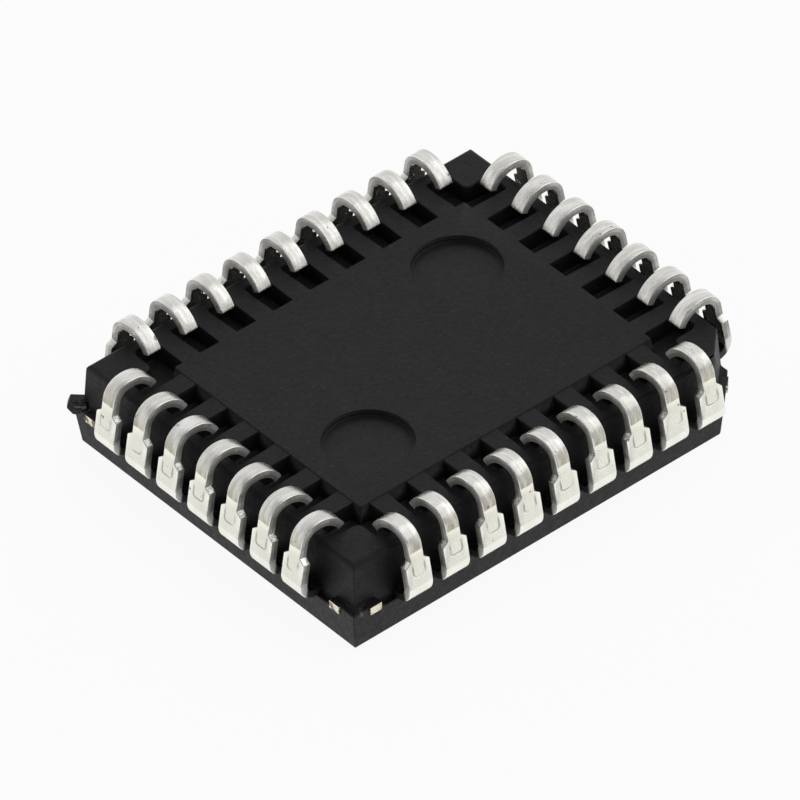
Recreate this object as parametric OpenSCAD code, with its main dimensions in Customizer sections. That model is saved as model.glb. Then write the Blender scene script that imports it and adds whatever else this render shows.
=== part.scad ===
// Plastic leaded chip carrier with J-shaped leads on all four sides.
// It lies on its marked face, so the leads rise beside the body and curl over its underside.
// Millimetres. The origin is the middle of the marked face, +X runs along the long sides
// and +Z points out of the underside.

/* [Body] */
// Length of the body at the parting line, along X
body_l = 13.97; // [13.6:0.01:14.6]
// Width of the body at the parting line, along Y
body_w = 11.43; // [11.1:0.01:12.1]
// Height from the marked face to the parting line
cap_h = 1.27; // [1.1:0.01:1.6]
// Height from the parting line to the flat underside
base_h = 1.41; // [1.3:0.01:1.8]
// Draft of the side walls of the marked half, in degrees
cap_draft = 6.5; // [3:0.5:10]
// Draft of the side walls of the underside half, in degrees
base_draft = 3.5; // [2:0.5:8]
// Set-back of the underside half, which leaves a ledge at the parting line
ledge = 0.2; // [0.1:0.01:0.3]
// Flat across the index corner, along each edge
corner_cut = 1.07; // [0.8:0.01:1.3]
// Diameter of the round dimple that marks the first lead
dimple_d = 1; // [0.6:0.05:1.6]
// Depth of that dimple
dimple_depth = 0.1; // [0.05:0.01:0.2]
// Distance of that dimple's centre from the short edge
dimple_inset = 2; // [1.2:0.05:3]

/* [Pockets and ribs] */
// Distance from the body's edge to the edge of the flat underside
pocket_reach = 1.95; // [1.8:0.01:2.2]
// Length of the pocket under each lead tip, at the underside
pocket_l = 1.25; // [1.1:0.01:1.35]
// Width of that pocket, at the underside
pocket_w = 0.68; // [0.55:0.01:0.9]
// Depth of the pockets below the underside
pocket_depth = 0.56; // [0.4:0.01:0.7]
// Slope of a pocket's end walls, in degrees from upright
pocket_draft = 11; // [0:1:20]
// Slope of the rib flanks, in degrees from upright
rib_draft = 5; // [0:1:10]
// Step from the flat underside down to the ribs, the rim and the corner posts
rim_drop = 0.03; // [0.02:0.01:0.1]
// Radius of the brow, which rounds the rim down to the side walls
brow_r = 0.16; // [0.05:0.01:0.3]
// Flat across each corner of the plateau inside the pockets
plateau_corner = 0.3; // [0.1:0.01:0.6]

/* [Corner posts] */
// Gap from the middle of a corner lead to the top of the post beside it
post_gap = 0.37; // [0.3:0.01:0.6]
// Slope of the flanks that face the leads, in degrees from upright
post_draft = 3; // [0:1:10]

/* [Marks of the mould] */
// Diameter of the two round ejector recesses in the underside
eject_d = 2.52; // [1.5:0.01:3]
// Depth of the ejector recesses
eject_depth = 0.2; // [0.05:0.01:0.3]
// Distance of each ejector recess from the middle, along X
eject_x = 3.18; // [2:0.01:3.4]
// Distance of each ejector recess from the middle, along Y
eject_y = 1.9; // [0:0.01:2.2]
// Width of the broken gate stub at one corner
gate_w = 0.35; // [0.2:0.05:0.6]
// Height of the gate stub, half of it above the parting line
gate_h = 0.4; // [0.3:0.02:0.9]
// How far the gate stub stands out past its corner
gate_proud = 0.15; // [0.05:0.01:0.3]

/* [Leads] */
// Distance between neighbouring leads
pitch = 1.27; // [1.2:0.01:1.3]
// Thickness of the lead-frame sheet
lead_t = 0.24; // [0.18:0.01:0.28]
// Width of a lead's curled part
lead_w = 0.45; // [0.33:0.01:0.53]
// Width of a lead's shoulder
shoulder_w = 0.8; // [0.66:0.01:0.85]
// Height above the parting line at which the shoulder meets the curled part
shoulder_h = 1.12; // [0.8:0.01:1.25]
// Drop of the shoulder's top edge from the curled part to its corners
ear_drop = 0.13; // [0.05:0.01:0.2]
// How far a lead stands out past the body's edge
lead_reach = 0.51; // [0.45:0.005:0.6]
// Height of the leads' crests above the flat underside
standoff = 0.58; // [0.4:0.01:0.8]
// Inward lean of the upright leg, in degrees
leg_lean = 10; // [5:0.5:14]
// Outer radius of the bend where a lead leaves the body
exit_r = 0.5; // [0.4:0.01:0.6]
// Outer radius of the bend at the top of the leg
bend_r = 0.61; // [0.5:0.01:0.8]
// Turn of that bend, in degrees
bend_turn = 70; // [60:1:78]
// Outer radius of the curl that goes on to the tip
curl_r = 0.925; // [0.8:0.005:1.1]
// Turn of the curl, in degrees
curl_turn = 75; // [50:1:85]
// Length of the open ledge past the last lead of each row
row_margin = 0.34; // [0.2:0.01:0.5]
// Slope at which the ends of that ledge rise to the parting line, in degrees
row_rise = 23; // [15:1:60]

/* [Lead frame inside the body] */
// Length of a lead's wide root inside the side wall
root_len = 0.35; // [0.2:0.01:0.5]
// Length over which the root narrows to the finger
neck_len = 0.35; // [0.2:0.01:0.5]
// Width of a finger where it leaves its root
finger_w = 0.5; // [0.4:0.01:0.6]
// Width of a finger at its tip
tip_w = 0.34; // [0.2:0.01:0.4]
// Gap between the finger tips and the die paddle
tip_gap = 0.3; // [0.2:0.01:0.5]
// Distance from the paddle's corner to the first finger tip, along its edge
tip_inset = 0.22; // [0.15:0.01:0.4]
// Margin of the die paddle round the die
paddle_margin = 0.4; // [0.2:0.01:0.6]
// Step of the die paddle out of the plane of the fingers
downset = 0.25; // [0.1:0.01:0.35]
// Length of the ramp that makes that step in each tie bar
ramp_len = 0.5; // [0.3:0.05:0.8]
// Width of the tie bars that hold the die paddle
tie_w = 0.28; // [0.2:0.01:0.35]
// Width of the cut ends of the tie bars
stub_w = 0.38; // [0.25:0.01:0.45]
// How far the cut ends stand out past the body's edge
stub_proud = 0.03; // [0:0.01:0.1]

/* [Die and wires] */
// Length of the die, along X
die_l = 4.6; // [4:0.1:5]
// Width of the die, along Y
die_w = 3.4; // [3:0.1:3.8]
// Thickness of the die
die_t = 0.33; // [0.25:0.01:0.4]
// Thickness of the adhesive under the die
attach_t = 0.03; // [0.02:0.005:0.05]
// Margin of the adhesive round the die
attach_margin = 0.1; // [0.05:0.01:0.15]
// Diameter of the bond wires
wire_d = 0.04; // [0.025:0.005:0.05]
// Height of the wire loops over the die
loop_h = 0.18; // [0.12:0.01:0.25]
// Distance of the bond pads from the die's edge
pad_inset = 0.12; // [0.08:0.01:0.2]
// Distance from a finger's tip to its wire
bond_inset = 0.12; // [0.08:0.01:0.2]

/* [Hidden] */
$fn = 48;
// Facets of the rounded brow
brow_steps = 8;
// Leads on each side, clockwise from +X
leads_per_side = [7, 9, 7, 9];
lead_total = leads_before(4);
first_lead = floor(count(0) / 2);

// Overlap of a cut past the face that it opens
over = 0.1;
// A length that is larger than the whole part
far = body_l + body_w;

// Heights of the mould's floors and of the pieces inside it
under_z = cap_h + base_h;
frame_z = cap_h - lead_t;
paddle_z = frame_z + downset;
attach_z = paddle_z - attach_t;
die_z = attach_z - die_t;

// Outline of the die paddle, set by the die that it carries
paddle_l = die_l + 2 * paddle_margin;
paddle_w = die_w + 2 * paddle_margin;

// Insets of the walls from the body's edge at the top and bottom of each half
cap_inset = cap_h * tan(cap_draft);
base_inset = ledge + base_h * tan(base_draft);

// Inner faces of the corner posts, at their tops
post_x = row_half(1) + post_gap;
post_y = row_half(0) + post_gap;

// Middle of the ledge beside each corner lead, where the tie bars end
stub_x = (row_half(1) + shoulder_w / 2 + body_l / 2) / 2;
stub_y = (row_half(0) + shoulder_w / 2 + body_w / 2) / 2;

// The leg is as long as it takes to lift the crest of the curl to the stand-off
exit_x = lead_reach - exit_r;
leg_foot = exit_r + exit_r * sin(leg_lean);
curl_start = leg_lean + bend_turn;
crest_h = lead_t + base_h + standoff;
leg_top = crest_h - curl_r + bend_r * sin(leg_lean) - (bend_r - curl_r) * sin(curl_start);
leg_len = (leg_top - leg_foot) / cos(leg_lean);
shoulder_len = (lead_t + shoulder_h - leg_foot) / cos(leg_lean);

// Sides are numbered clockwise, as seen from the leads: 0 is +X, 1 is -Y, 2 is -X, 3 is +Y.
function on_short(side) = side % 2 == 0;
function edge(side) = (on_short(side) ? body_l : body_w) / 2;
function count(side) = leads_per_side[side];
function row_half(side) = (count(side) - 1) / 2 * pitch;
function place(side, index, step) = ((count(side) - 1) / 2 - index) * step;

// Leads are numbered clockwise from the middle of the first short side.
function leads_before(side) = side == 0 ? 0 : leads_before(side - 1) + count(side - 1);
function lead_number(side, index) =
    (leads_before(side) + index + lead_total - first_lead) % lead_total + 1;
function lead_name(number) = str("lead_", number < 10 ? "0" : "", number);

// Finger tips and bond pads are spread evenly along the paddle and the die.
function tip_x(side) = (on_short(side) ? paddle_l : paddle_w) / 2 + tip_gap;
function tip_step(side) = ((on_short(side) ? paddle_w : paddle_l) - 2 * tip_inset) / (count(side) - 1);
function pad_x(side) = (on_short(side) ? die_l : die_w) / 2 - pad_inset;
function pad_step(side) = tip_step(side) * (on_short(side) ? die_w / paddle_w : die_l / paddle_l);
function neck_x(side) = edge(side) - ledge - root_len - neck_len;
function finger_y(side, index, x) =
    let (along = (x - tip_x(side)) / (neck_x(side) - tip_x(side)))
    place(side, index, tip_step(side)) * (1 - along) + place(side, index, pitch) * along;

// Turns a side's own frame, with +X outwards, to its place round the body
module on_side(side) {
    rotate([0, 0, -90 * side])
        children();
}

// Copies one corner of the body to all four
module four_corners() {
    for (flip_x = [0, 1], flip_y = [0, 1])
        mirror([flip_x, 0, 0])
            mirror([0, flip_y, 0])
                children();
}

// A bar along Y whose section in X and Z is the 2D child
module bar(length = far) {
    rotate([90, 0, 0])
        linear_extrude(height = length, center = true)
            children();
}

// A wall section that slopes from one half-width to another
module slope_section(low, high, height) {
    polygon([[-low, 0], [low, 0], [high, height], [-high, height]]);
}

// The body's outline with drafted walls, given the inset at the bottom and the top
module drafted_block(height, low_inset, high_inset) {
    index_reach = (body_l + body_w) / 2 - corner_cut;
    index_edge = index_reach / sqrt(2);
    intersection() {
        bar()
            slope_section(body_l / 2 - low_inset, body_l / 2 - high_inset, height);
        rotate([0, 0, 90])
            bar()
                slope_section(body_w / 2 - low_inset, body_w / 2 - high_inset, height);
        rotate([0, 0, -45])
            bar()
                polygon([
                    [-far, 0],
                    [index_edge - low_inset, 0],
                    [index_edge - high_inset, height],
                    [-far, height]]);
    }
}

// Section across the underside half, with a rounded brow above each side wall
module brow_section(half) {
    rim_z = base_h - rim_drop;
    centre_z = rim_z - brow_r;
    centre_x = half - ledge - centre_z * tan(base_draft) - brow_r / cos(base_draft);
    turn_step = (90 - base_draft) / brow_steps;
    brow = [for (step = [0:brow_steps])
        [centre_x + brow_r * cos(base_draft + step * turn_step),
         centre_z + brow_r * sin(base_draft + step * turn_step)]];
    for (flip = [0, 1])
        mirror([flip, 0])
            polygon(concat([[0, rim_z], [0, 0], [half, 0], [half, brow[0].y]], brow));
}

// The flat plateau in the middle of the underside, with its corners cut
module plateau() {
    spread = pocket_depth * tan(pocket_draft);
    half_l = body_l / 2 - pocket_reach;
    half_w = body_w / 2 - pocket_reach;
    half_corner = (half_l + half_w - plateau_corner) / sqrt(2);
    intersection() {
        bar()
            slope_section(half_l + spread, half_l, pocket_depth);
        rotate([0, 0, 90])
            bar()
                slope_section(half_w + spread, half_w, pocket_depth);
        for (turn = [45, -45])
            rotate([0, 0, turn])
                bar()
                    slope_section(half_corner + spread, half_corner, pocket_depth);
    }
}

// One rib between two pockets, running out from the plateau
module rib() {
    half = (pitch - pocket_w) / 2;
    spread = pocket_depth * tan(rib_draft);
    translate([-pocket_reach / 2, 0, 0])
        rotate([0, 0, 90])
            bar(pocket_reach)
                slope_section(half + spread, half, pocket_depth);
}

// Wall round the outside that closes the pockets towards the body's sides
module pocket_rim() {
    slope = tan(pocket_draft);
    half_l = body_l / 2 - pocket_reach + pocket_l;
    half_w = body_w / 2 - pocket_reach + pocket_l;
    fall = (pocket_depth + over) * slope;
    difference() {
        translate([-far / 2, -far / 2, 0])
            cube([far, far, pocket_depth]);
        translate([0, 0, -over])
            intersection() {
                bar()
                    slope_section(half_l - fall, half_l + over * slope, pocket_depth + 2 * over);
                rotate([0, 0, 90])
                    bar()
                        slope_section(half_w - fall, half_w + over * slope, pocket_depth + 2 * over);
            }
    }
}

// Rim and ribs above the floor of the pockets
module ribbed_rim() {
    translate([0, 0, base_h - pocket_depth]) {
        pocket_rim();
        for (side = [0:3], index = [0:count(side) - 2])
            on_side(side)
                translate([edge(side), place(side, index + 0.5, pitch), 0])
                    rib();
    }
}

// One corner post, with drafted flanks beside the leads
module post() {
    lean = base_h * tan(post_draft);
    intersection() {
        bar()
            polygon([[post_x - lean, 0], [far, 0], [far, base_h], [post_x, base_h]]);
        rotate([0, 0, 90])
            mirror([0, 1, 0])
                bar()
                    polygon([[post_y - lean, 0], [far, 0], [far, base_h], [post_y, base_h]]);
    }
}

// The half of the body between the parting line and the underside
module underside_half() {
    translate([0, 0, cap_h])
        intersection() {
            drafted_block(base_h, ledge, base_inset);
            union() {
                intersection() {
                    bar()
                        brow_section(body_l / 2);
                    rotate([0, 0, 90])
                        bar()
                            brow_section(body_w / 2);
                    union() {
                        translate([-far / 2, -far / 2, 0])
                            cube([far, far, base_h - pocket_depth]);
                        ribbed_rim();
                        four_corners()
                            post();
                    }
                }
                translate([0, 0, base_h - pocket_depth])
                    plateau();
            }
        }
}

// Stub of moulding compound where the gate was broken off, at the corner on -X and +Y
module gate_stub() {
    root = -2 * ledge;
    translate([-body_l / 2, body_w / 2, cap_h])
        rotate([0, 0, 135])
            bar(gate_w)
                polygon([
                    [root, -gate_h / 2],
                    [0, -gate_h / 2],
                    [gate_proud, 0],
                    [gate_proud / 2, gate_h / 2],
                    [root, gate_h / 2]]);
}

// Round marks that the mould leaves in the underside and the marked face
module mould_marks() {
    for (turn = [0, 180])
        rotate([0, 0, turn])
            translate([eject_x, eject_y, under_z - eject_depth])
                cylinder(d = eject_d, h = eject_depth + over);
    translate([body_l / 2 - dimple_inset, 0, -over])
        cylinder(d = dimple_d, h = dimple_depth + over);
}

// Open ledge along a row of leads, as deep as the sheet that the leads are cut from
module row_ledge(side) {
    half = row_half(side) + shoulder_w / 2 + row_margin;
    depth = ledge + over;
    height = lead_t + over;
    translate([edge(side) + over - depth / 2, 0, frame_z])
        rotate([0, 0, 90])
            bar(depth)
                slope_section(half, half + height / tan(row_rise), height);
}

// The half of the body between the marked face and the parting line
module marked_half() {
    difference() {
        drafted_block(cap_h, cap_inset, 0);
        for (side = [0:3])
            on_side(side)
                row_ledge(side);
    }
}

// Moulded body, closed round the lead frame, the die and the wires
module body() {
    color("#2b2b2d")
        difference() {
            union() {
                marked_half();
                underside_half();
                gate_stub();
            }
            mould_marks();
            for (side = [0:3], index = [0:count(side) - 1])
                on_side(side)
                    blade(side, index);
            die_paddle();
            die_attach();
            die();
            bond_wires();
        }
}

// Flat part of a lead: its root in the side wall and its finger towards the die
module blade(side, index) {
    root_x = edge(side) - ledge - root_len;
    outer_y = place(side, index, pitch);
    inner_y = finger_y(side, index, tip_x(side));
    translate([0, 0, frame_z])
        linear_extrude(height = lead_t)
            polygon([
                [edge(side) + exit_x, outer_y - shoulder_w / 2],
                [edge(side) + exit_x, outer_y + shoulder_w / 2],
                [root_x, outer_y + shoulder_w / 2],
                [neck_x(side), outer_y + finger_w / 2],
                [tip_x(side), inner_y + tip_w / 2],
                [tip_x(side), inner_y - tip_w / 2],
                [neck_x(side), outer_y - finger_w / 2],
                [root_x, outer_y - shoulder_w / 2]]);
}

// A bent strip round the Y axis, from one angle through a turn
module bend(radius, from, turn, width) {
    rotate([90, 0, 0])
        rotate([0, 0, from])
            rotate_extrude(angle = turn)
                translate([radius - lead_t, -width / 2])
                    square([lead_t, width]);
}

// Outline of the upright leg: the wide shoulder, its sloping ears and the narrow part above them
module leg_outline() {
    ear_z = shoulder_len - ear_drop;
    polygon([
        [-shoulder_w / 2, 0],
        [shoulder_w / 2, 0],
        [shoulder_w / 2, ear_z],
        [lead_w / 2, shoulder_len],
        [lead_w / 2, leg_len],
        [-lead_w / 2, leg_len],
        [-lead_w / 2, shoulder_len],
        [-shoulder_w / 2, ear_z]]);
}

// Bent part of a lead, from the exit bend up the leg and over to the tip
module hook() {
    bend(exit_r, -90, 90 + leg_lean, shoulder_w);
    rotate([0, -leg_lean, 0]) {
        translate([exit_r - lead_t, 0, 0])
            rotate([90, 0, 90])
                linear_extrude(height = lead_t)
                    leg_outline();
        translate([exit_r - bend_r, 0, leg_len]) {
            bend(bend_r, 0, bend_turn, lead_w);
            translate([(bend_r - curl_r) * cos(bend_turn), 0, (bend_r - curl_r) * sin(bend_turn)])
                bend(curl_r, bend_turn, curl_turn, lead_w);
        }
    }
}

// One complete lead, with its finger inside the body
module lead(side, index) {
    color("#cfcdc6")
        on_side(side) {
            blade(side, index);
            translate([edge(side) + exit_x, place(side, index, pitch), frame_z + exit_r])
                hook();
        }
}

// Tie bar from a corner of the paddle, with the ramp that steps it out of the frame's plane
module tie_bar() {
    run = [stub_x - paddle_l / 2, stub_y - paddle_w / 2];
    flat = tie_w / 2;
    translate([paddle_l / 2, paddle_w / 2, frame_z])
        rotate([0, 0, atan2(run.y, run.x)])
            bar(tie_w)
                polygon([
                    [-flat, downset],
                    [flat, downset],
                    [flat + ramp_len, 0],
                    [norm(run), 0],
                    [norm(run), lead_t],
                    [flat + ramp_len, lead_t],
                    [flat, downset + lead_t],
                    [-flat, downset + lead_t]]);
}

// Forked end of a tie bar, cut off at both sides of a corner
module fork() {
    translate([stub_x - stub_w / 2, stub_y - stub_w / 2, frame_z]) {
        cube([body_l / 2 + stub_proud - stub_x + stub_w / 2, stub_w, lead_t]);
        cube([stub_w, body_w / 2 + stub_proud - stub_y + stub_w / 2, lead_t]);
    }
}

// Plain end of the tie bar that is cut off at the index corner
module index_stub() {
    reach = ((body_l + body_w) / 2 - corner_cut - stub_x - stub_y) / sqrt(2) + stub_proud;
    translate([stub_x, stub_y, frame_z])
        rotate([0, 0, 45])
            translate([-stub_w / 2, -stub_w / 2, 0])
                cube([reach + stub_w / 2, stub_w, lead_t]);
}

// Paddle that carries the die, with a tie bar to each corner of the body
module die_paddle() {
    color("#b7a08a") {
        translate([-paddle_l / 2, -paddle_w / 2, paddle_z])
            cube([paddle_l, paddle_w, lead_t]);
        four_corners()
            tie_bar();
        for (turn = [0, 180])
            rotate([0, 0, turn])
                fork();
        mirror([1, 0, 0])
            fork();
        mirror([0, 1, 0])
            index_stub();
    }
}

// Layer of adhesive between the die and the paddle
module die_attach() {
    attach_l = die_l + 2 * attach_margin;
    attach_w = die_w + 2 * attach_margin;
    color("#b9bcc0")
        translate([-attach_l / 2, -attach_w / 2, attach_z])
            cube([attach_l, attach_w, attach_t]);
}

// Silicon die, with its working face towards the marked side
module die() {
    color("#5a6172")
        translate([-die_l / 2, -die_w / 2, die_z])
            cube([die_l, die_w, die_t]);
}

// One wire: a riser on its bond pad and a straight run to the lead's finger
module wire(side, index) {
    bond_x = tip_x(side) + bond_inset;
    top = [pad_x(side), place(side, index, pad_step(side)), die_z - loop_h];
    bond = [bond_x, finger_y(side, index, bond_x), frame_z];
    run = bond - top;
    translate(top) {
        cylinder(d = wire_d, h = loop_h);
        sphere(d = wire_d);
        rotate([0, acos(run.z / norm(run)), atan2(run.y, run.x)])
            cylinder(d = wire_d, h = norm(run) + over);
    }
}

// All bond wires, from the die to the fingers, ending flat on each finger
module bond_wires() {
    color("#d6ae4a")
        difference() {
            for (side = [0:3], index = [0:count(side) - 1])
                on_side(side)
                    wire(side, index);
            translate([-far / 2, -far / 2, frame_z])
                cube([far, far, base_h]);
        }
}

body();
die_paddle();
die_attach();
die();
bond_wires();
for (side = [0:3], index = [0:count(side) - 1])
    lead(side, index);
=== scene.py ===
"""A plastic leaded chip carrier lying on its marked face, with its J-leads up."""
import math

import bmesh
import bpy
from mathutils import Matrix, Vector


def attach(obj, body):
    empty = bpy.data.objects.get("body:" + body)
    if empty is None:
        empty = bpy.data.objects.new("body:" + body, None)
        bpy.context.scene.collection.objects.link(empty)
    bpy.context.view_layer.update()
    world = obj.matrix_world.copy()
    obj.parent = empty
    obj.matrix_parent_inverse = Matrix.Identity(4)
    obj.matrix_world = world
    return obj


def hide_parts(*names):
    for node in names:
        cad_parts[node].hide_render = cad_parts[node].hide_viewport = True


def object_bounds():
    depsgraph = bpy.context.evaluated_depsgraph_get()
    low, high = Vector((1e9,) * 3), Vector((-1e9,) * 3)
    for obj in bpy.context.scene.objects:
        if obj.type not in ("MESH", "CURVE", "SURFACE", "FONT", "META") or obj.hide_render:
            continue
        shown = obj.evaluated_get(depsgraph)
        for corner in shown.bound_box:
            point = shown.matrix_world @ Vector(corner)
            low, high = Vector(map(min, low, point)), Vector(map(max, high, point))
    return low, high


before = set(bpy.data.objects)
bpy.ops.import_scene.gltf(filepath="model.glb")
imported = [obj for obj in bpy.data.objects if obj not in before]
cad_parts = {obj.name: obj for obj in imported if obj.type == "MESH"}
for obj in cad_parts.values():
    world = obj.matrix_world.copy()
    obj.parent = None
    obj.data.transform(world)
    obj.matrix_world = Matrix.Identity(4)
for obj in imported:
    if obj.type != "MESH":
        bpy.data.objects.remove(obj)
cad_low, cad_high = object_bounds()

# Units: the frame is in metres, and the sizes below are in millimetres
MM = 0.001

# Body
BODY_L = 13.97
BODY_W = 11.43
PARTING_Z = 1.27
UNDERSIDE_Z = 2.68
LEDGE = 0.2
CORNER_CUT = 1.07
POCKET_DEPTH = 0.56
EJECT_R = 1.26
EJECT_DEPTH = 0.2
EJECT_SPOTS = ((3.18, 1.9), (-3.18, -1.9))
EJECT_Z = UNDERSIDE_Z - EJECT_DEPTH
RIM_DROP = 0.03
PLATEAU = (5.035, 3.765)
GATE_SPOT = (-6.78, 5.51, 1.15)
CHIP_SPOT = (-6.66, -5.66, 1.2)

# Zones of the body: how far out in X and Y the corners and the posts begin, how far the gate reaches,
# the margins of the step, and the room of the lead frame, from a wall and from the parting line
CORNER_ZONE = (6.5, 5.2)
POST_ZONE = (5.3, 4.0)
GATE_ZONE = 0.5
STEP_MARGIN = 0.05
LEVEL_MARGIN = 0.001
WALL_SKIN = 0.06
FRAME_ROOM = 0.6

# Rounding of the body's edges: the least angle, then radius and segments
BODY_SHARP = math.radians(25)
UPPER_CORNERS = (0.11, 4)
SLAB_CORNERS = (0.06, 4)
POST_FLANKS = (0.2, 5)
PLAIN_EDGES = (0.05, 3)
GATE_EDGE_MIN = 0.2
MERGE = 1e-4
FLAT = math.radians(0.5)

# Leads
PITCH = 1.27
SIDE_LEADS = (7, 9, 7, 9)
FIRST_LEAD = 3
LEAD_T = 0.24
LEAD_W = 0.45
LEAD_ROOT = 0.5
SHOULDER_W = 0.8
SHOULDER_H = 1.12
EAR_DROP = 0.13
LEAD_REACH = 0.51
FRAME_Z = PARTING_Z - LEAD_T
CREST_H = cad_high.z / MM - FRAME_Z
LEG_LEAN = math.radians(10)
EXIT_R = 0.5
EXIT_STEPS = 12
BEND_R = 0.61
BEND_TURN = math.radians(70)
BEND_STEPS = 14
CURL_R = 0.925
CURL_TURN = math.radians(75)
CURL_STEPS = 16
LEAD_SHARP = math.radians(40)
LEAD_EDGES = (0.022, 3)

# Marks and painted shade on a lead: where each fades in, along the leg from the foot, across it, and out
# through its sheet
TAN_BAND = (1.02, 1.06)
BRIGHT_BEND = (1.12, 1.68)
OUTER_FACE = (0.42, 0.47)
PAD_HALF = 0.09
PAD_FOOT = 0.41
PAD_R = 0.11
GROOVE_END = (0.74, 0.55)
FOOT_PLATE = (0.12, 0.0)
# Painted shade inside the foot: how far out through the sheet and up the leg it fades in
FOOT_SHADE_DEPTH = (0.30, 0.20)
FOOT_SHADE_END = (0.16, 0.04)

# Near-black painted shade for the metal, where the lead's foot and the frame's flat faces lie in shadow
PAINTED_SHADE_BLACK = (0.008, 0.008, 0.008, 1)

# Weight of large faces in the smooth shading, from 1 to 100, where 50 is even
FACE_WEIGHT = 80

# Camera, read from the photograph, which is taken to be 800 by 800 pixels
CAMERA_AZIMUTH = math.radians(39.481)
CAMERA_ELEVATION = math.radians(40.755)
CAMERA_ROLL = math.radians(-1.728)
CAMERA_DISTANCE = 388.404
CAMERA_AIM = (-0.403, 0.780)
FOCAL_PIXELS = 14668.3
IMAGE_PIXELS = 800
SENSOR = 36.0
CLIP = (0.01, 20)

# Studio, in metres and watts: the dark part of the sky, overhead and towards the front, how it runs
# into the white walls, the soft box, and the floor
DARK_SIDE = (-0.35, -0.43, 0.83)
SKY_SHADE = (0.36, 0.95, 0.82, 0.1)
KEY_PLACE = (0.22, -0.2, 0.45)
KEY_SIZE = 0.6
KEY_POWER = 0.75
FLOOR_HALF = 2
FLOOR_DROP = 0.00002
FLOOR_GLOW = 0.93


class Wire:
    """A shader socket that takes part in Python expressions."""

    def __init__(self, nodes, socket):
        self.nodes = nodes
        self.socket = socket

    def math(self, operation, first, second):
        return self.nodes.add("Math", {"operation": operation}, {0: first, 1: second})

    def __add__(self, other):
        return self.math("ADD", self, other)

    def __radd__(self, other):
        return self.math("ADD", other, self)

    def __sub__(self, other):
        return self.math("SUBTRACT", self, other)

    def __rsub__(self, other):
        return self.math("SUBTRACT", other, self)

    def __mul__(self, other):
        return self.math("MULTIPLY", self, other)

    def __rmul__(self, other):
        return self.math("MULTIPLY", other, self)

    def __abs__(self):
        return self.math("ABSOLUTE", self, 0.0)


class Nodes:
    """A node tree in the making, with one method that adds any node."""

    def __init__(self, tree):
        self.tree = tree

    def add(self, kind, settings=None, sockets=None, out=0):
        node = self.tree.nodes.new("ShaderNode" + kind)
        for key, value in (settings or {}).items():
            setattr(node, key, value)
        for key, value in (sockets or {}).items():
            self.feed(node.inputs[key], value)
        return Wire(self, node.outputs[out])

    def feed(self, socket, value):
        if isinstance(value, Wire):
            self.tree.links.new(value.socket, socket)
        else:
            socket.default_value = value

    def ramp(self, value, low, high, start=0.0, end=1.0):
        return self.add(
            "MapRange",
            {"interpolation_type": "SMOOTHSTEP"},
            {"Value": value, "From Min": low, "From Max": high, "To Min": start, "To Max": end})


class Finish(Nodes):
    """A material in the making."""

    def __init__(self, name):
        self.material = bpy.data.materials.new(name)
        self.material.use_nodes = True
        super().__init__(self.material.node_tree)
        self.shader = self.tree.nodes["Principled BSDF"]

    def surface(self, **values):
        for key, value in values.items():
            self.feed(self.shader.inputs[key.replace("_", " ")], value)

    def place(self):
        """Object coordinates in millimetres."""
        spot = self.add("TexCoord", out="Object")
        return self.scaled(spot, 1 / MM)

    def scaled(self, vector, scale):
        return self.add("VectorMath", {"operation": "SCALE"}, {0: vector, "Scale": scale})

    def axes(self, vector):
        return [self.add("SeparateXYZ", None, {0: vector}, out) for out in range(3)]

    def noise(self, vector, scale, detail=3.0, roughness=0.55):
        return self.add(
            "TexNoise",
            None,
            {"Vector": vector, "Scale": scale, "Detail": detail, "Roughness": roughness})

    def mix(self, factor, first, second):
        return self.add("Mix", {"data_type": "RGBA"}, {0: factor, 6: first, 7: second}, 2)

    def near(self, spot, centre, inner, outer):
        """One within the inner distance of a point, fading to nothing at the outer one."""
        reach = self.add("VectorMath", {"operation": "DISTANCE"}, {0: spot, 1: centre}, "Value")
        return self.ramp(reach, outer, inner)

    def bump(self, height, distance, strength):
        return self.add("Bump", None, {"Height": height, "Distance": distance * MM, "Strength": strength})


def mould_compound():
    """Black moulding compound with the fine spark-eroded grain of its mould."""
    finish = Finish("mould_compound")
    spot = finish.place()
    grain = finish.noise(spot, 6.0, 5.0, 0.7)
    mottle = finish.ramp(finish.noise(spot, 1.7), 0.3, 0.7)
    colour = finish.mix(mottle, (0.0070, 0.0070, 0.0078, 1), (0.0095, 0.0095, 0.0103, 1))
    specks = finish.ramp(finish.noise(spot, 11.0, 1.0), 0.70, 0.76)
    colour = finish.mix(specks * 0.4, colour, (0.06, 0.06, 0.062, 1))
    pits = finish.ramp(finish.noise(spot, 4.5, 2.0), 0.33, 0.27)
    colour = finish.mix(pits * 0.5, colour, (0.004, 0.004, 0.004, 1))

    # Pale flecks on the broken gate, and a chip at the front corner of the lower half
    flecks = finish.ramp(finish.noise(spot, 8.0, 2.0), 0.58, 0.66)
    torn = finish.near(spot, GATE_SPOT, 0.16, 0.5) * flecks
    colour = finish.mix(torn * 0.6, colour, (0.4, 0.39, 0.36, 1))
    crumbs = finish.ramp(finish.noise(spot, 5.0, 2.0), 0.42, 0.5)
    chipped = finish.near(spot, CHIP_SPOT, 0.05, 0.16) * crumbs
    colour = finish.mix(chipped * 0.5, colour, (0.2, 0.2, 0.2, 1))

    # Recess floors are smoother, because the ejector pins are polished
    floors = [
        finish.near(spot, centre + (EJECT_Z,), EJECT_R - 0.12, EJECT_R - 0.02)
        for centre in EJECT_SPOTS]
    polished = floors[0] + floors[1]
    relief = grain * (1.0 - polished * 0.6) - pits * 0.5
    finish.surface(
        Base_Color=colour,
        Roughness=finish.ramp(grain, 0.3, 0.7, 0.46, 0.60) - polished * 0.06,
        Specular_IOR_Level=0.25,
        Normal=finish.bump(relief, 0.03, 0.7))
    return finish.material


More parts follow.
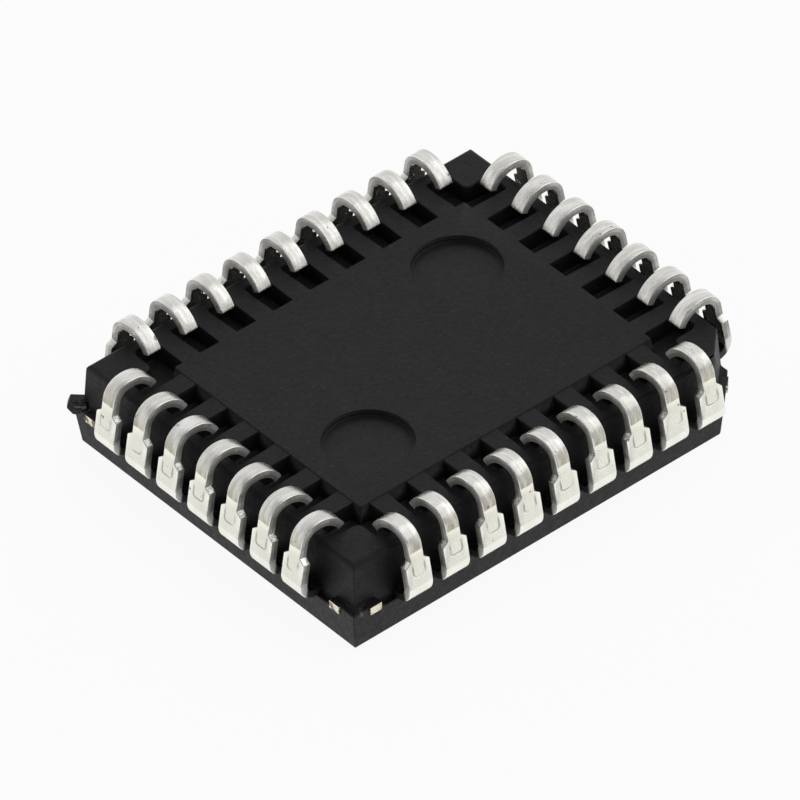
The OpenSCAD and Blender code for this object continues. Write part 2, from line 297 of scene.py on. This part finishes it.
def tin_plate():
    """Matte tin plating on the leads, with the marks of stamping and forming."""
    finish = Finish("tin_plate")
    spot = finish.place()
    leg = finish.add("Attribute", {"attribute_name": "leg"}, out="Vector")
    side = finish.add("Attribute", {"attribute_name": "side"}, out="Fac")
    skin = finish.add("Attribute", {"attribute_name": "skin"}, out="Fac")
    across, along, depth = finish.axes(leg)
    outer = finish.ramp(depth, *OUTER_FACE)
    sheared = finish.ramp(side, 0.75, 0.92)
    # The rounded edges between the sheet's faces and its sheared sides, which get a painted highlight
    edge_highlight = finish.ramp(side, 0.12, 0.3) * (1.0 - sheared)
    drawn = finish.add("CombineXYZ", None, {0: across * 9.0, 1: along * 1.6, 2: depth * 1.6})
    drawn = finish.add("VectorMath", {"operation": "ADD"}, {0: drawn, 1: finish.scaled(spot, 0.6)})
    grain = finish.noise(spot, 12.0, 4.0, 0.6)
    blotch = finish.noise(spot, 2.6)
    streaks = finish.noise(drawn, 1.0, 3.0, 0.6)
    wander = (blotch - 0.5) * 0.12

    # Cream shoulder, a tan band where the tool held the leg, and a brighter bend above it
    worn = finish.ramp(along + wander, *TAN_BAND)
    risen = finish.ramp(along + wander * 2.0, *BRIGHT_BEND)
    clouds = finish.ramp(blotch, 0.35, 0.65)
    cream = finish.mix(clouds, (0.90, 0.89, 0.80, 1), (0.96, 0.955, 0.88, 1))
    tan = finish.mix(finish.ramp(streaks, 0.35, 0.65), (0.40, 0.38, 0.31, 1), (0.60, 0.58, 0.51, 1))
    bright = finish.mix(finish.ramp(streaks, 0.35, 0.7), (0.70, 0.69, 0.65, 1), (0.92, 0.91, 0.88, 1))
    colour = finish.mix(worn, cream, finish.mix(risen, tan, bright))

    # Pad that the forming tool pressed into the shoulder, with a groove round its lower end
    corner_x = finish.add("Math", {"operation": "MAXIMUM"}, {0: abs(across) - PAD_HALF, 1: 0.0})
    corner_y = finish.add("Math", {"operation": "MAXIMUM"}, {0: PAD_FOOT - along, 1: 0.0})
    outline = finish.add("Math", {"operation": "SQRT"}, {0: corner_x * corner_x + corner_y * corner_y})
    pressed = finish.ramp(outline, PAD_R + 0.01, PAD_R - 0.01) * outer * (1.0 - worn)
    colour = finish.mix(pressed * 0.5, colour, (0.92, 0.91, 0.78, 1))
    patchy = finish.ramp(finish.noise(spot, 1.1, 1.0), 0.34, 0.5)
    groove = finish.ramp(abs(outline - PAD_R + wander * 0.2), 0.04, 0.015)
    groove = groove * finish.ramp(along, *GROOVE_END) * outer * patchy
    colour = finish.mix(groove * 0.7, colour, (0.36, 0.35, 0.31, 1))

    # Sheared faces: cut in their outer half, broken in the inner one, and plated at the foot
    cut = finish.mix(finish.ramp(streaks, 0.35, 0.68), (0.44, 0.43, 0.40, 1), (0.78, 0.77, 0.73, 1))
    broken = finish.ramp(skin + (grain - 0.5) * 0.4, 0.55, 0.45)
    cut = finish.mix(broken * 0.5, cut, (0.26, 0.25, 0.23, 1))
    cut = finish.mix(finish.ramp(along, *FOOT_PLATE), cut, (0.92, 0.91, 0.87, 1))
    colour = finish.mix(sheared, colour, cut)
    # Painted highlight: near-white on the rounded edges
    colour = finish.mix(edge_highlight * 0.7, colour, (0.95, 0.95, 0.92, 1))

    # Dark pits, and painted shade inside the foot, black and not metallic
    pits = finish.ramp(finish.noise(spot, 5.2, 2.0), 0.70, 0.75)
    colour = finish.mix(pits * 0.7, colour, (0.16, 0.14, 0.11, 1))
    foot_shade = finish.ramp(depth, *FOOT_SHADE_DEPTH) * finish.ramp(along, *FOOT_SHADE_END)
    colour = finish.mix(foot_shade, colour, PAINTED_SHADE_BLACK)
    relief = grain * 0.5 + streaks * 0.5 - groove * 0.6 - pits
    finish.surface(
        Base_Color=colour,
        Metallic=(1.0 - sheared * 0.35) * (1.0 - foot_shade),
        Roughness=finish.ramp(grain, 0.3, 0.7, 0.22, 0.34) + sheared * 0.3 + pits * 0.2,
        Normal=finish.bump(relief, 0.016, 0.8))
    return finish.material


def frame_alloy():
    """Bare sheared copper alloy, with painted shade, black and not metallic, on its flat faces."""
    finish = Finish("frame_alloy")
    spot = finish.place()
    up = finish.axes(finish.add("TexCoord", out="Normal"))[2]
    grain = finish.noise(spot, 7.0)
    # Painted shade: the faces that lie flat, up or down, turn near-black and lose their metal
    skin = finish.ramp(abs(up), 0.5, 0.8)
    colour = finish.mix(finish.ramp(grain, 0.3, 0.6), (0.55, 0.46, 0.30, 1), (0.95, 0.90, 0.78, 1))
    stain = finish.ramp(finish.noise(spot, 3.4, 2.0), 0.50, 0.42)
    colour = finish.mix(stain * 0.8, colour, (0.10, 0.08, 0.06, 1))
    finish.surface(
        Base_Color=finish.mix(skin, colour, PAINTED_SHADE_BLACK),
        Metallic=1.0 - skin,
        Roughness=finish.ramp(grain, 0.3, 0.7, 0.4, 0.6),
        Normal=finish.bump(grain, 0.02, 0.8))
    return finish.material


def plain_metal(name, colour, roughness):
    """Bare metal with a fine grain."""
    finish = Finish(name)
    grain = finish.noise(finish.place(), 20.0)
    finish.surface(
        Base_Color=finish.mix(grain, tuple(0.8 * part for part in colour) + (1,), colour + (1,)),
        Metallic=1.0,
        Roughness=finish.ramp(grain, 0.3, 0.7, roughness - 0.06, roughness + 0.06))
    return finish.material


def plain_solid(name, colour, roughness):
    """A plain inner solid with a slight mottle."""
    finish = Finish(name)
    grain = finish.noise(finish.place(), 12.0)
    finish.surface(
        Base_Color=finish.mix(grain, tuple(0.85 * part for part in colour) + (1,), colour + (1,)),
        Roughness=roughness)
    return finish.material


def piece(name, shape, material):
    """A finished mesh as an object that rides on the part's one body."""
    mesh = bpy.data.meshes.new(name)
    shape.to_mesh(mesh)
    shape.free()
    mesh.transform(Matrix.Scale(MM, 4))
    mesh.polygons.foreach_set("use_smooth", [True] * len(mesh.polygons))
    mesh.materials.append(material)
    made = bpy.data.objects.new(name, mesh)
    bpy.context.scene.collection.objects.link(made)
    weighted = made.modifiers.new("even_shading", "WEIGHTED_NORMAL")
    weighted.weight = FACE_WEIGHT
    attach(made, "root")
    return made


def round_edges(shape, edges, rounding, clamp=True):
    radius, segments = rounding
    bmesh.ops.bevel(
        shape,
        geom=edges,
        offset=radius,
        offset_type="OFFSET",
        segments=segments,
        profile=0.5,
        affect="EDGES",
        material=-1,
        clamp_overlap=clamp)


def sharp_edges(shape, angle):
    return [edge for edge in shape.edges if len(edge.link_faces) == 2 and edge.calc_face_angle() > angle]


def moulded_body():
    """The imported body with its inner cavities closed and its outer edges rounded."""
    shape = bmesh.new()
    shape.from_mesh(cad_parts["body"].data)
    bmesh.ops.scale(shape, vec=(1 / MM,) * 3, verts=shape.verts)
    bmesh.ops.remove_doubles(shape, verts=shape.verts, dist=MERGE)
    inside = [face for face in shape.faces if any(in_cavity(vert.co) for vert in face.verts)]
    bmesh.ops.delete(shape, geom=inside, context="FACES")
    openings = [edge for edge in shape.edges if edge.is_boundary]
    bmesh.ops.holes_fill(shape, edges=openings, sides=0)
    bmesh.ops.dissolve_limit(
        shape,
        angle_limit=FLAT,
        verts=shape.verts,
        edges=shape.edges,
        delimit=set())
    for chosen, rounding, clamp in (
            (at_upper_corner, UPPER_CORNERS, True),
            (at_slab_corner, SLAB_CORNERS, True),
            (at_flank, POST_FLANKS, False),
            (along_gate, PLAIN_EDGES, False),
            (elsewhere, PLAIN_EDGES, False)):
        edges = [edge for edge in sharp_edges(shape, BODY_SHARP) if chosen(edge)]
        round_edges(shape, edges, rounding, clamp)
    bmesh.ops.dissolve_degenerate(shape, dist=MERGE, edges=shape.edges)
    bmesh.ops.recalc_face_normals(shape, faces=shape.faces)
    return shape


def middle(edge):
    return (edge.verts[0].co + edge.verts[1].co) / 2


def beyond(spot, zone):
    return abs(spot.x) > zone[0] and abs(spot.y) > zone[1]


def climbs(edge, share):
    """True for an edge that rises by more than a share of its length."""
    rise = edge.verts[1].co - edge.verts[0].co
    return abs(rise.z) > share * rise.length


def at_corner(edge):
    """True for an edge that climbs one of the body's three square corners."""
    return beyond(middle(edge), CORNER_ZONE) and climbs(edge, 0.1)


def at_upper_corner(edge):
    return at_corner(edge) and middle(edge).z > PARTING_Z


def at_slab_corner(edge):
    return at_corner(edge) and middle(edge).z < PARTING_Z


def at_flank(edge):
    """True for an upright edge of a corner post on the side of the pockets."""
    spot = middle(edge)
    post = beyond(spot, POST_ZONE) and spot.z > UNDERSIDE_Z - POCKET_DEPTH
    return post and climbs(edge, 0.5) and not at_corner(edge)


def at_gate(edge):
    """True for an edge of the broken gate and what meets it."""
    return (middle(edge) - Vector(GATE_SPOT)).length < GATE_ZONE


def along_gate(edge):
    return at_gate(edge) and edge.calc_length() > GATE_EDGE_MIN


def at_step(edge):
    """True for an edge of the low step between the plateau and the ribs."""
    spot = middle(edge)
    level = spot.z > UNDERSIDE_Z - RIM_DROP - LEVEL_MARGIN
    within = abs(spot.x) < PLATEAU[0] + STEP_MARGIN and abs(spot.y) < PLATEAU[1] + STEP_MARGIN
    return level and within


def elsewhere(edge):
    return not at_step(edge) and not at_gate(edge)


def in_cavity(point):
    """True inside the walls, at the height of the lead frame, the die and the wires."""
    margin = LEDGE + WALL_SKIN
    level = abs(point.z - PARTING_Z) < FRAME_ROOM
    within = abs(point.x) < BODY_L / 2 - margin and abs(point.y) < BODY_W / 2 - margin
    index_line = (BODY_L + BODY_W) / 2 - CORNER_CUT - margin * math.sqrt(2)
    return level and within and point.x - point.y < index_line


def lead_shape():
    """One lead's bent part in its own frame: +X out of the body's edge, Z from the sheet's lower face."""
    shape = bmesh.new()
    columns = (-SHOULDER_W / 2, -LEAD_W / 2, LEAD_W / 2, SHOULDER_W / 2)
    count = len(columns) - 1
    bmesh.ops.create_grid(shape, x_segments=count, y_segments=1, size=1)
    skin = shape.verts.layers.float.new("skin")
    for vert in shape.verts:
        column = round((vert.co.x + 1) / 2 * count)
        inner = vert.co.y > 0
        vert.co = (-LEAD_ROOT, columns[column], LEAD_T if inner else 0)
        vert[skin] = 0.0 if inner else 1.0
    exit_x = LEAD_REACH - EXIT_R
    leg_foot = EXIT_R + EXIT_R * math.sin(LEG_LEAN)
    curl_start = LEG_LEAN + BEND_TURN
    rise = BEND_R * math.sin(LEG_LEAN) - (BEND_R - CURL_R) * math.sin(curl_start) - CURL_R
    leg_len = (CREST_H + rise - leg_foot) / math.cos(LEG_LEAN)
    shoulder_len = (LEAD_T + SHOULDER_H - leg_foot) / math.cos(LEG_LEAN)
    up = Vector((-math.sin(LEG_LEAN), 0, math.cos(LEG_LEAN)))
    out = Vector((math.cos(LEG_LEAN), 0, math.sin(LEG_LEAN)))
    foot = Vector((exit_x, 0, EXIT_R))

    front = draw_out(shape, list(shape.faces), Vector((exit_x + LEAD_ROOT, 0, 0)))
    front = turn(shape, front, foot, math.pi / 2 + LEG_LEAN, EXIT_STEPS)
    front = draw_out(shape, front, up * shoulder_len)
    core = min(front, key=lambda face: abs(face.calc_center_median().y))
    ears = {vert for face in front for vert in face.verts} - set(core.verts)
    bmesh.ops.translate(shape, verts=list(ears), vec=up * -EAR_DROP)
    tip = draw_out(shape, [core], up * (leg_len - shoulder_len))
    bend_centre = foot + up * leg_len + out * (EXIT_R - BEND_R)
    tip = turn(shape, tip, bend_centre, BEND_TURN, BEND_STEPS)
    end = Vector((math.cos(curl_start), 0, math.sin(curl_start)))
    turn(shape, tip, bend_centre + end * (BEND_R - CURL_R), CURL_TURN, CURL_STEPS)
    bmesh.ops.recalc_face_normals(shape, faces=shape.faces)
    round_edges(shape, sharp_edges(shape, LEAD_SHARP), LEAD_EDGES)

    leg = shape.verts.layers.float_vector.new("leg")
    for vert in shape.verts:
        offset = vert.co - foot
        vert[leg] = (vert.co.y, offset.dot(up), offset.dot(out))
    shape.normal_update()
    side = shape.faces.layers.float.new("side")
    for face in shape.faces:
        face[side] = abs(face.normal.y)
    return shape


def draw_out(shape, faces, step):
    """Extrudes faces along a step and returns the new ones."""
    made = bmesh.ops.extrude_face_region(shape, geom=faces)["geom"]
    verts = [item for item in made if isinstance(item, bmesh.types.BMVert)]
    bmesh.ops.translate(shape, verts=verts, vec=step)
    return [item for item in made if isinstance(item, bmesh.types.BMFace)]


def turn(shape, faces, centre, angle, steps):
    """Sweeps faces round a bend and returns the last ones."""
    edges = {edge for face in faces for edge in face.edges}
    verts = {vert for face in faces for vert in face.verts}
    made = bmesh.ops.spin(
        shape,
        geom=list(faces) + list(edges) + list(verts),
        cent=centre,
        axis=(0, -1, 0),
        angle=angle,
        steps=steps,
        use_duplicate=False)["geom_last"]
    return [item for item in made if isinstance(item, bmesh.types.BMFace)]


def lead_places():
    """Each lead's name with its turn and place round the body, clockwise from the middle of +X."""
    total = sum(SIDE_LEADS)
    before = 0
    for side, count in enumerate(SIDE_LEADS):
        edge = (BODY_W if side % 2 else BODY_L) / 2
        facing = Matrix.Rotation(-math.pi / 2 * side, 4, "Z")
        for index in range(count):
            number = (before + index - FIRST_LEAD) % total + 1
            along = ((count - 1) / 2 - index) * PITCH
            yield f"lead_{number:02d}", facing @ Matrix.Translation((edge, along, FRAME_Z))
        before += count


def camera_axes():
    """The camera's right, up and back directions."""
    back = Vector((
        -math.sin(CAMERA_AZIMUTH) * math.cos(CAMERA_ELEVATION),
        -math.cos(CAMERA_AZIMUTH) * math.cos(CAMERA_ELEVATION),
        math.sin(CAMERA_ELEVATION)))
    right = Vector((math.cos(CAMERA_AZIMUTH), -math.sin(CAMERA_AZIMUTH), 0))
    up = back.cross(right)
    roll = Matrix.Rotation(CAMERA_ROLL, 3, back)
    return roll @ right, roll @ up, back


def add_camera():
    right, up, back = camera_axes()
    data = bpy.data.cameras.new("camera")
    data.sensor_width = SENSOR
    data.lens = FOCAL_PIXELS * SENSOR / IMAGE_PIXELS
    data.clip_start, data.clip_end = CLIP
    camera = bpy.data.objects.new("camera", data)
    place = (back * CAMERA_DISTANCE + right * CAMERA_AIM[0] + up * CAMERA_AIM[1]) * MM
    camera.matrix_world = Matrix.Translation(place) @ Matrix((right, up, back)).transposed().to_4x4()
    bpy.context.scene.collection.objects.link(camera)
    bpy.context.scene.camera = camera


def add_lamp(name, place, size, power):
    """A square soft box that faces the chip."""
    data = bpy.data.lights.new(name, "AREA")
    data.size = size
    data.energy = power
    lamp = bpy.data.objects.new(name, data)
    lamp.location = place
    lamp.rotation_euler = (-Vector(place)).to_track_quat("-Z", "Y").to_euler()
    bpy.context.scene.collection.objects.link(lamp)


def add_world():
    """A sky that is dark overhead and towards the front, and white round the horizon."""
    world = bpy.data.worlds.new("studio")
    world.use_nodes = True
    sky = Nodes(world.node_tree)
    spot = sky.add("TexCoord", out="Generated")
    facing = sky.add("VectorMath", {"operation": "DOT_PRODUCT"}, {0: spot, 1: DARK_SIDE}, "Value")
    background = sky.tree.nodes["Background"]
    sky.feed(background.inputs["Color"], sky.ramp(facing, *SKY_SHADE))
    sky.feed(background.inputs["Strength"], 1.0)
    bpy.context.scene.world = world


def add_floor():
    """A white floor that stays white to the camera and keeps a soft shadow."""
    shape = bmesh.new()
    bmesh.ops.create_grid(shape, x_segments=1, y_segments=1, size=FLOOR_HALF)
    mesh = bpy.data.meshes.new("floor")
    shape.to_mesh(mesh)
    shape.free()
    floor = bpy.data.objects.new("floor", mesh)
    floor.location.z = -FLOOR_DROP
    bpy.context.scene.collection.objects.link(floor)
    finish = Finish("floor")
    camera, glossy, through = [
        finish.add("LightPath", out=f"Is {ray} Ray") for ray in ("Camera", "Glossy", "Transmission")]
    white = finish.add("Emission", None, {"Color": (1, 1, 1, 1), "Strength": 1.0})
    finish.surface(Base_Color=(0.85, 0.85, 0.85, 1), Roughness=0.9)
    lit = Wire(finish, finish.shader.outputs[0])
    seen = (camera + glossy + through) * FLOOR_GLOW
    blend = finish.add("MixShader", None, {0: seen, 1: lit, 2: white})
    finish.feed(finish.tree.nodes["Material Output"].inputs["Surface"], blend)
    mesh.materials.append(finish.material)


def main():
    bpy.context.scene.view_settings.view_transform = "Standard"
    add_camera()
    add_world()
    add_floor()
    add_lamp("key", KEY_PLACE, KEY_SIZE, KEY_POWER)

    body = piece("body_shell", moulded_body(), mould_compound())
    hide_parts("body")

    tin = tin_plate()
    pattern = lead_shape()
    for name, spot in lead_places():
        shape = pattern.copy()
        bmesh.ops.transform(shape, matrix=spot, verts=shape.verts)
        lead = piece(name + "_formed", shape, tin)
        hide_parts(name)
    pattern.free()

    inner = {
        "die_paddle": frame_alloy(),
        "bond_wires": plain_metal("bond_wire", (0.85, 0.62, 0.25), 0.25),
        "die_attach": plain_solid("die_adhesive", (0.5, 0.5, 0.52), 0.6),
        "die": plain_solid("silicon", (0.14, 0.16, 0.2), 0.2),
    }
    for name, material in inner.items():
        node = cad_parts[name]
        node.data.materials.clear()
        node.data.materials.append(material)


main()
